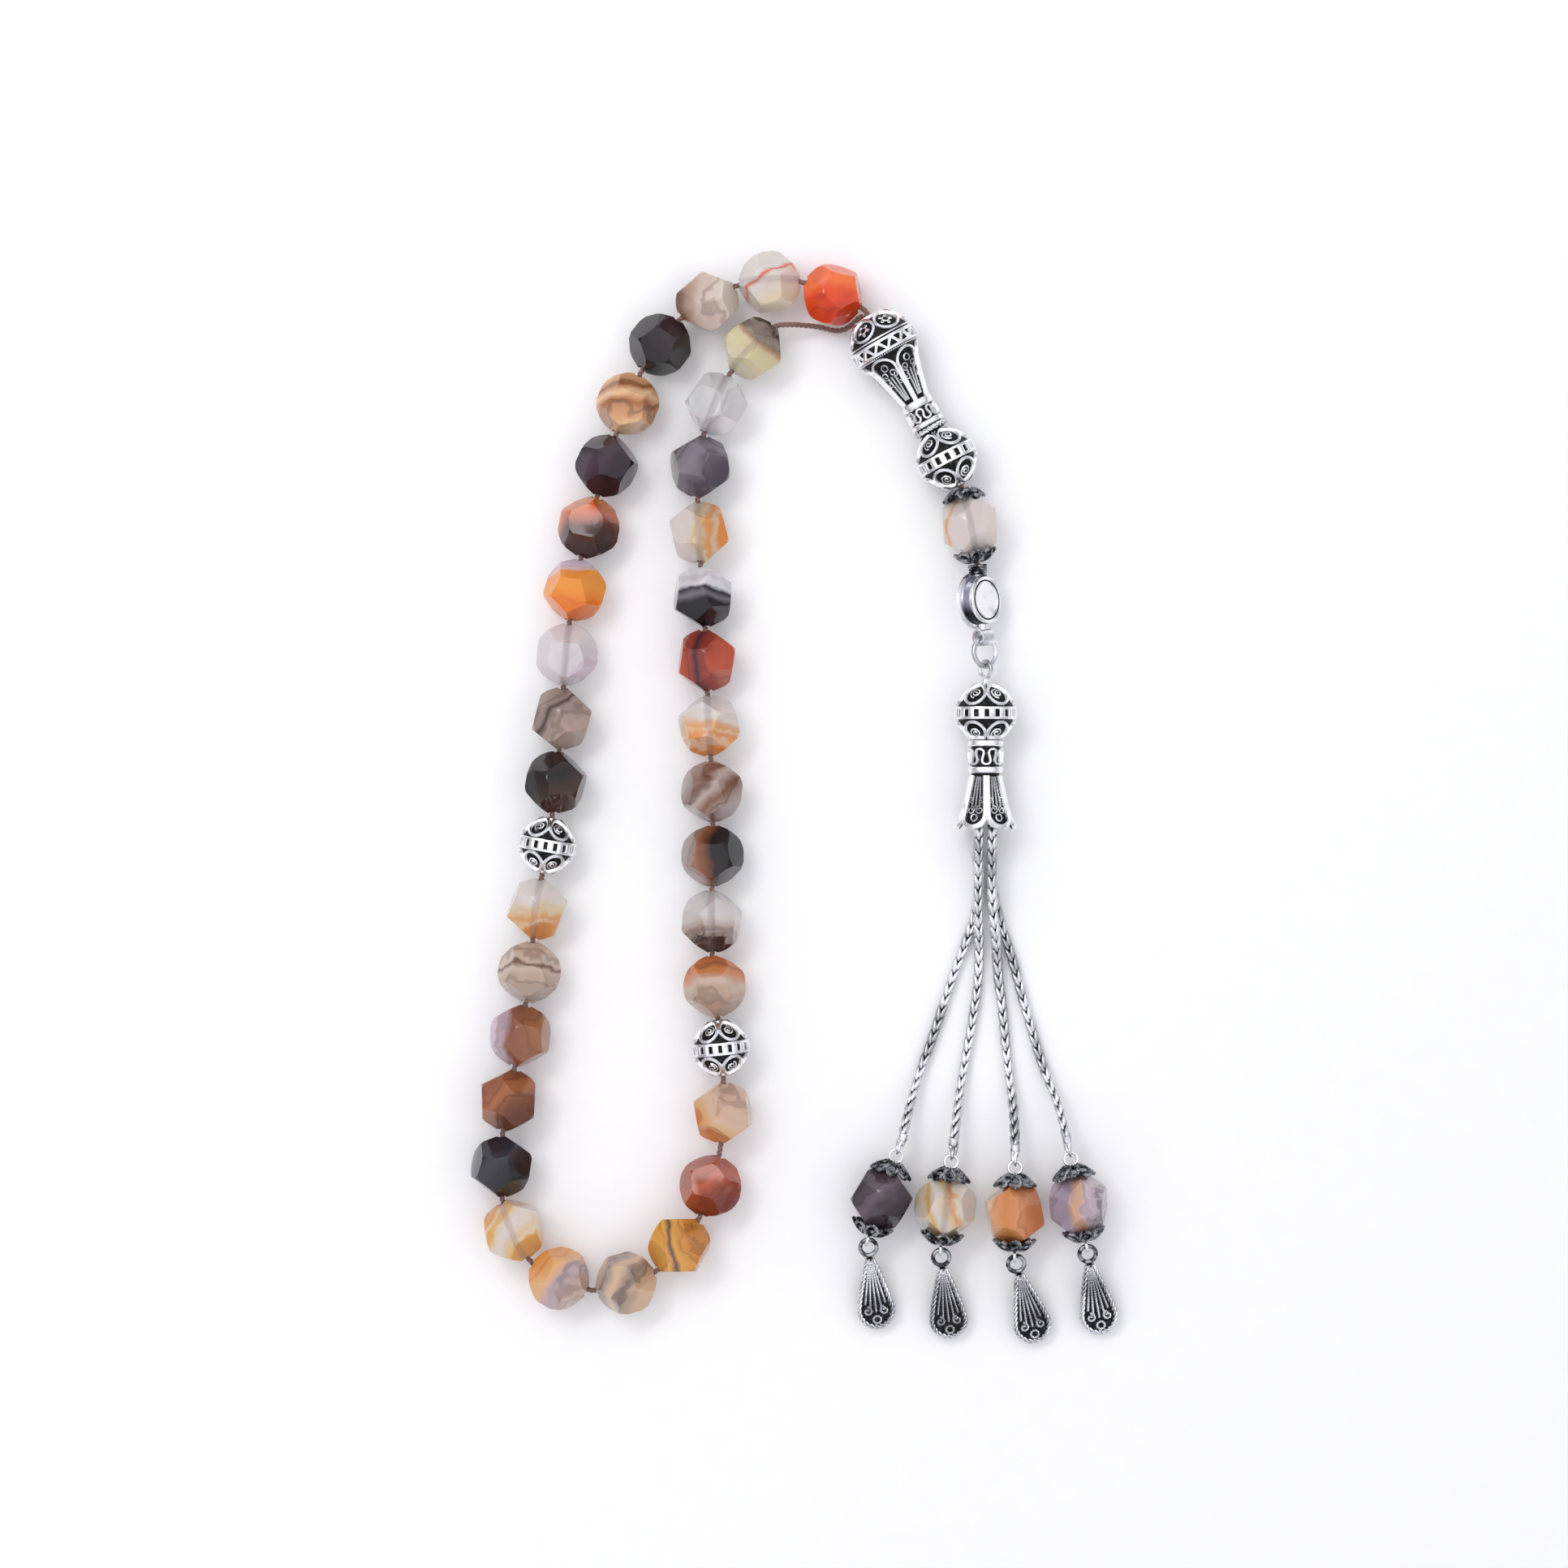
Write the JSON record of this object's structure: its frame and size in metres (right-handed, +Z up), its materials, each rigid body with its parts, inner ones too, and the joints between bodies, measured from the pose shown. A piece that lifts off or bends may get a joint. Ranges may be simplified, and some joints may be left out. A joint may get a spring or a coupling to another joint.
{
  "type": "misbaha prayer beads",
  "caption": "String of faceted agate prayer beads with silver dividers, a silver headpiece, a medallion and a tassel of four chains with stone and silver pendants.",
  "frame": {"origin": "middle of the laid-out string on the table it lies on", "axes": "+Z up from the table, +Y from the tassel towards the headpiece and the loop's far end, +X to the right seen from above"},
  "size_m": [0.1025, 0.173, 0.011],
  "materials": {
    "agate_orange": "polished faceted stone",
    "agate_pale": "polished faceted stone",
    "agate_grey": "polished faceted stone",
    "agate_black": "polished faceted stone",
    "agate_brown": "polished faceted stone",
    "silver": "bright silver with oxidised recesses",
    "cord": "twisted waxed cord"
  },
  "bodies": {
    "loop": {"loop_cord": "cord"},
    "stone_01": {"stone_01": "agate_orange"},
    "stone_02": {"stone_02": "agate_pale"},
    "stone_03": {"stone_03": "agate_grey"},
    "stone_04": {"stone_04": "agate_black"},
    "stone_05": {"stone_05": "agate_brown"},
    "stone_06": {"stone_06": "agate_black"},
    "stone_07": {"stone_07": "agate_orange"},
    "stone_08": {"stone_08": "agate_orange"},
    "stone_09": {"stone_09": "agate_grey"},
    "stone_10": {"stone_10": "agate_grey"},
    "stone_11": {"stone_11": "agate_black"},
    "divider_1": {"divider_1": "silver"},
    "stone_12": {"stone_12": "agate_pale"},
    "stone_13": {"stone_13": "agate_grey"},
    "stone_14": {"stone_14": "agate_brown"},
    "stone_15": {"stone_15": "agate_brown"},
    "stone_16": {"stone_16": "agate_black"},
    "stone_17": {"stone_17": "agate_orange"},
    "stone_18": {"stone_18": "agate_orange"},
    "stone_19": {"stone_19": "agate_grey"},
    "stone_20": {"stone_20": "agate_orange"},
    "stone_21": {"stone_21": "agate_brown"},
    "stone_22": {"stone_22": "agate_brown"},
    "divider_2": {"divider_2": "silver"},
    "stone_23": {"stone_23": "agate_brown"},
    "stone_24": {"stone_24": "agate_pale"},
    "stone_25": {"stone_25": "agate_brown"},
    "stone_26": {"stone_26": "agate_grey"},
    "stone_27": {"stone_27": "agate_pale"},
    "stone_28": {"stone_28": "agate_brown"},
    "stone_29": {"stone_29": "agate_pale"},
    "stone_30": {"stone_30": "agate_pale"},
    "stone_31": {"stone_31": "agate_grey"},
    "stone_32": {"stone_32": "agate_pale"},
    "stone_33": {"stone_33": "agate_pale"},
    "head_line": {"head_cord": "cord"},
    "imame": {"imame": "silver"},
    "imame_ball": {"imame_ball": "silver"},
    "head_caps": {"head_caps": "silver"},
    "head_stone": {"head_stone": "agate_pale"},
    "medallion": {"medallion": "silver"},
    "jump_ring": {"jump_ring": "silver"},
    "tassel_head": {"tassel_head": "silver"},
    "chain_1": {"chain_1": "silver"},
    "pendant_pin_1": {"pendant_pin_1": "silver"},
    "pendant_stone_1": {"pendant_stone_1": "agate_black"},
    "drop_1": {"drop_1": "silver"},
    "chain_2": {"chain_2": "silver"},
    "pendant_pin_2": {"pendant_pin_2": "silver"},
    "pendant_stone_2": {"pendant_stone_2": "agate_pale"},
    "drop_2": {"drop_2": "silver"},
    "chain_3": {"chain_3": "silver"},
    "pendant_pin_3": {"pendant_pin_3": "silver"},
    "pendant_stone_3": {"pendant_stone_3": "agate_orange"},
    "drop_3": {"drop_3": "silver"},
    "chain_4": {"chain_4": "silver"},
    "pendant_pin_4": {"pendant_pin_4": "silver"},
    "pendant_stone_4": {"pendant_stone_4": "agate_grey"},
    "drop_4": {"drop_4": "silver"}
  },
  "joints": [
    {"name": "stone_01_spin", "type": "hinge", "parent": "loop", "child": "stone_01", "pos_m": [0.00594, 0.0797, 0.005], "axis": [-0.9063, 0.4226, 0], "continuous": true},
    {"name": "stone_02_spin", "type": "hinge", "parent": "loop", "child": "stone_02", "pos_m": [-0.00407, 0.08164, 0.005], "axis": [-0.9986, -0.0523, 0], "continuous": true},
    {"name": "stone_03_spin", "type": "hinge", "parent": "loop", "child": "stone_03", "pos_m": [-0.01392, 0.07863, 0.005], "axis": [-0.8572, -0.515, 0], "continuous": true},
    {"name": "stone_04_spin", "type": "hinge", "parent": "loop", "child": "stone_04", "pos_m": [-0.02138, 0.0718, 0.005], "axis": [-0.5878, -0.809, 0], "continuous": true},
    {"name": "stone_05_spin", "type": "hinge", "parent": "loop", "child": "stone_05", "pos_m": [-0.02649, 0.06239, 0.005], "axis": [-0.3584, -0.9336, 0], "continuous": true},
    {"name": "stone_06_spin", "type": "hinge", "parent": "loop", "child": "stone_06", "pos_m": [-0.02984, 0.05265, 0.005], "axis": [-0.2924, -0.9563, 0], "continuous": true},
    {"name": "stone_07_spin", "type": "hinge", "parent": "loop", "child": "stone_07", "pos_m": [-0.03263, 0.04293, 0.005], "axis": [-0.2588, -0.9659, 0], "continuous": true},
    {"name": "stone_08_spin", "type": "hinge", "parent": "loop", "child": "stone_08", "pos_m": [-0.03484, 0.03297, 0.005], "axis": [-0.1736, -0.9848, 0], "continuous": true},
    {"name": "stone_09_spin", "type": "hinge", "parent": "loop", "child": "stone_09", "pos_m": [-0.03617, 0.02285, 0.005], "axis": [-0.0872, -0.9962, 0], "continuous": true},
    {"name": "stone_10_spin", "type": "hinge", "parent": "loop", "child": "stone_10", "pos_m": [-0.03697, 0.01269, 0.005], "axis": [-0.0698, -0.9976, 0], "continuous": true},
    {"name": "stone_11_spin", "type": "hinge", "parent": "loop", "child": "stone_11", "pos_m": [-0.03785, 0.0026, 0.005], "axis": [-0.1045, -0.9945, 0], "continuous": true},
    {"name": "divider_1_spin", "type": "hinge", "parent": "loop", "child": "divider_1", "pos_m": [-0.03923, -0.0073, 0.005], "axis": [-0.1736, -0.9848, 0], "continuous": true},
    {"name": "stone_12_spin", "type": "hinge", "parent": "loop", "child": "stone_12", "pos_m": [-0.0408, -0.01728, 0.005], "axis": [-0.1392, -0.9903, 0], "continuous": true},
    {"name": "stone_13_spin", "type": "hinge", "parent": "loop", "child": "stone_13", "pos_m": [-0.04203, -0.02732, 0.005], "axis": [-0.1045, -0.9945, 0], "continuous": true},
    {"name": "stone_14_spin", "type": "hinge", "parent": "loop", "child": "stone_14", "pos_m": [-0.04344, -0.03734, 0.005], "axis": [-0.1736, -0.9848, 0], "continuous": true},
    {"name": "stone_15_spin", "type": "hinge", "parent": "loop", "child": "stone_15", "pos_m": [-0.04534, -0.04757, 0.005], "axis": [-0.1908, -0.9816, 0], "continuous": true},
    {"name": "stone_16_spin", "type": "hinge", "parent": "loop", "child": "stone_16", "pos_m": [-0.04643, -0.05801, 0.005], "axis": [-0.0175, -0.9998, 0], "continuous": true},
    {"name": "stone_17_spin", "type": "hinge", "parent": "loop", "child": "stone_17", "pos_m": [-0.04447, -0.06812, 0.005], "axis": [0.3907, -0.9205, 0], "continuous": true},
    {"name": "stone_18_spin", "type": "hinge", "parent": "loop", "child": "stone_18", "pos_m": [-0.03731, -0.07567, 0.005], "axis": [0.8988, -0.4384, 0], "continuous": true},
    {"name": "stone_19_spin", "type": "hinge", "parent": "loop", "child": "stone_19", "pos_m": [-0.02674, -0.07641, 0.005], "axis": [0.9511, 0.309, 0], "continuous": true},
    {"name": "stone_20_spin", "type": "hinge", "parent": "loop", "child": "stone_20", "pos_m": [-0.0183, -0.0705, 0.005], "axis": [0.6157, 0.788, 0], "continuous": true},
    {"name": "stone_21_spin", "type": "hinge", "parent": "loop", "child": "stone_21", "pos_m": [-0.0134, -0.06109, 0.005], "axis": [0.2924, 0.9563, 0], "continuous": true},
    {"name": "stone_22_spin", "type": "hinge", "parent": "loop", "child": "stone_22", "pos_m": [-0.01147, -0.04956, 0.005], "axis": [0.0349, 0.9994, 0], "continuous": true},
    {"name": "divider_2_spin", "type": "hinge", "parent": "loop", "child": "divider_2", "pos_m": [-0.0118, -0.03926, 0.005], "axis": [-0.1045, 0.9945, 0], "continuous": true},
    {"name": "stone_23_spin", "type": "hinge", "parent": "loop", "child": "stone_23", "pos_m": [-0.01273, -0.02959, 0.005], "axis": [-0.0872, 0.9962, 0], "continuous": true},
    {"name": "stone_24_spin", "type": "hinge", "parent": "loop", "child": "stone_24", "pos_m": [-0.01318, -0.01929, 0.005], "axis": [0, 1, 0], "continuous": true},
    {"name": "stone_25_spin", "type": "hinge", "parent": "loop", "child": "stone_25", "pos_m": [-0.01309, -0.0089, 0.005], "axis": [0.0175, 0.9998, 0], "continuous": true},
    {"name": "stone_26_spin", "type": "hinge", "parent": "loop", "child": "stone_26", "pos_m": [-0.01318, 0.00122, 0.005], "axis": [-0.0349, 0.9994, 0], "continuous": true},
    {"name": "stone_27_spin", "type": "hinge", "parent": "loop", "child": "stone_27", "pos_m": [-0.01363, 0.01161, 0.005], "axis": [-0.0523, 0.9986, 0], "continuous": true},
    {"name": "stone_28_spin", "type": "hinge", "parent": "loop", "child": "stone_28", "pos_m": [-0.01408, 0.0219, 0.005], "axis": [-0.0349, 0.9994, 0], "continuous": true},
    {"name": "stone_29_spin", "type": "hinge", "parent": "loop", "child": "stone_29", "pos_m": [-0.01461, 0.03201, 0.005], "axis": [-0.0698, 0.9976, 0], "continuous": true},
    {"name": "stone_30_spin", "type": "hinge", "parent": "loop", "child": "stone_30", "pos_m": [-0.01524, 0.04219, 0.005], "axis": [-0.0523, 0.9986, 0], "continuous": true},
    {"name": "stone_31_spin", "type": "hinge", "parent": "loop", "child": "stone_31", "pos_m": [-0.01505, 0.05259, 0.005], "axis": [0.0872, 0.9962, 0], "continuous": true},
    {"name": "stone_32_spin", "type": "hinge", "parent": "loop", "child": "stone_32", "pos_m": [-0.01259, 0.06249, 0.005], "axis": [0.3907, 0.9205, 0], "continuous": true},
    {"name": "stone_33_spin", "type": "hinge", "parent": "loop", "child": "stone_33", "pos_m": [-0.00671, 0.07119, 0.005], "axis": [0.7071, 0.7071, 0], "continuous": true},
    {"name": "head_lift", "type": "hinge", "parent": "loop", "child": "head_line", "pos_m": [0.0116, 0.07589, 0.0056], "axis": [-0.8712, -0.4909, 0], "range_deg": [0, 25]},
    {"name": "imame_spin", "type": "hinge", "parent": "head_line", "child": "imame", "pos_m": [0.01145, 0.07615, 0.00561], "axis": [0.4908, -0.871, -0.0244], "continuous": true},
    {"name": "imame_ball_spin", "type": "hinge", "parent": "head_line", "child": "imame_ball", "pos_m": [0.02386, 0.05382, 0.0051], "axis": [0.4617, -0.887, 0], "continuous": true},
    {"name": "head_caps_spin", "type": "hinge", "parent": "head_line", "child": "head_caps", "pos_m": [0.0275, 0.04324, 0.0051], "axis": [0.1994, -0.9799, 0], "continuous": true},
    {"name": "head_stone_spin", "type": "hinge", "parent": "head_line", "child": "head_stone", "pos_m": [0.0275, 0.04324, 0.0051], "axis": [0.1994, -0.9799, 0], "continuous": true},
    {"name": "medallion_swivel", "type": "hinge", "parent": "head_line", "child": "medallion", "pos_m": [0.0287, 0.03736, 0.0051], "axis": [0.0906, -0.9959, 0], "range_deg": [0, 45]},
    {"name": "jump_ring_swing", "type": "hinge", "parent": "medallion", "child": "jump_ring", "pos_m": [0.02977, 0.02557, 0.0051], "axis": [0.7753, 0.0542, -0.6293], "range_deg": [-30, 0]},
    {"name": "tassel_swing", "type": "hinge", "parent": "jump_ring", "child": "tassel_head", "pos_m": [0.03003, 0.02179, 0.0051], "axis": [0.6293, 0, 0.7771], "range_deg": [-5, 8]},
    {"name": "chain_1_swing", "type": "hinge", "parent": "tassel_head", "child": "chain_1", "pos_m": [0.02903, 0.00176, 0.0041], "axis": [0, 0, 1], "range_deg": [-6, 0]},
    {"name": "pendant_1_lift", "type": "hinge", "parent": "chain_1", "child": "pendant_pin_1", "pos_m": [0.01627, -0.05539, 0.005], "axis": [-0.9455, 0.3256, 0], "range_deg": [0, 25]},
    {"name": "pendant_stone_1_spin", "type": "hinge", "parent": "pendant_pin_1", "child": "pendant_stone_1", "pos_m": [0.01361, -0.0631, 0.005], "axis": [-0.3256, -0.9455, 0], "continuous": true},
    {"name": "drop_1_lift", "type": "hinge", "parent": "pendant_pin_1", "child": "drop_1", "pos_m": [0.01138, -0.06958, 0.005], "axis": [-0.9925, -0.1219, 0], "range_deg": [0, 45]},
    {"name": "chain_2_lift", "type": "hinge", "parent": "tassel_head", "child": "chain_2", "pos_m": [0.02903, 0.00176, 0.0061], "axis": [-1, 0, 0], "range_deg": [0, 15]},
    {"name": "pendant_2_lift", "type": "hinge", "parent": "chain_2", "child": "pendant_pin_2", "pos_m": [0.02473, -0.05626, 0.005], "axis": [-0.9925, 0.1219, 0], "range_deg": [0, 25]},
    {"name": "pendant_stone_2_spin", "type": "hinge", "parent": "pendant_pin_2", "child": "pendant_stone_2", "pos_m": [0.02373, -0.06435, 0.005], "axis": [-0.1219, -0.9925, 0], "continuous": true},
    {"name": "drop_2_lift", "type": "hinge", "parent": "pendant_pin_2", "child": "drop_2", "pos_m": [0.0229, -0.07115, 0.005], "axis": [-0.9925, -0.1219, 0], "range_deg": [0, 45]},
    {"name": "chain_3_lift", "type": "hinge", "parent": "tassel_head", "child": "chain_3", "pos_m": [0.03103, 0.00176, 0.0061], "axis": [-1, 0, 0], "range_deg": [0, 15]},
    {"name": "pendant_3_lift", "type": "hinge", "parent": "chain_3", "child": "pendant_pin_3", "pos_m": [0.0347, -0.0572, 0.005], "axis": [-1, 0.0087, 0], "range_deg": [0, 25]},
    {"name": "pendant_stone_3_spin", "type": "hinge", "parent": "pendant_pin_3", "child": "pendant_stone_3", "pos_m": [0.03463, -0.06535, 0.005], "axis": [-0.0087, -1, 0], "continuous": true},
    {"name": "drop_3_lift", "type": "hinge", "parent": "pendant_pin_3", "child": "drop_3", "pos_m": [0.03457, -0.0722, 0.005], "axis": [-0.9659, -0.2588, 0], "range_deg": [0, 45]},
    {"name": "chain_4_swing", "type": "hinge", "parent": "tassel_head", "child": "chain_4", "pos_m": [0.03103, 0.00176, 0.0041], "axis": [0, 0, 1], "range_deg": [0, 6]},
    {"name": "pendant_4_lift", "type": "hinge", "parent": "chain_4", "child": "pendant_pin_4", "pos_m": [0.04334, -0.05582, 0.005], "axis": [-0.9848, -0.1736, 0], "range_deg": [0, 25]},
    {"name": "pendant_stone_4_spin", "type": "hinge", "parent": "pendant_pin_4", "child": "pendant_stone_4", "pos_m": [0.04475, -0.06385, 0.005], "axis": [0.1736, -0.9848, 0], "continuous": true},
    {"name": "drop_4_lift", "type": "hinge", "parent": "pendant_pin_4", "child": "drop_4", "pos_m": [0.04594, -0.0706, 0.005], "axis": [-0.9816, -0.1908, 0], "range_deg": [0, 45]}
  ]
}
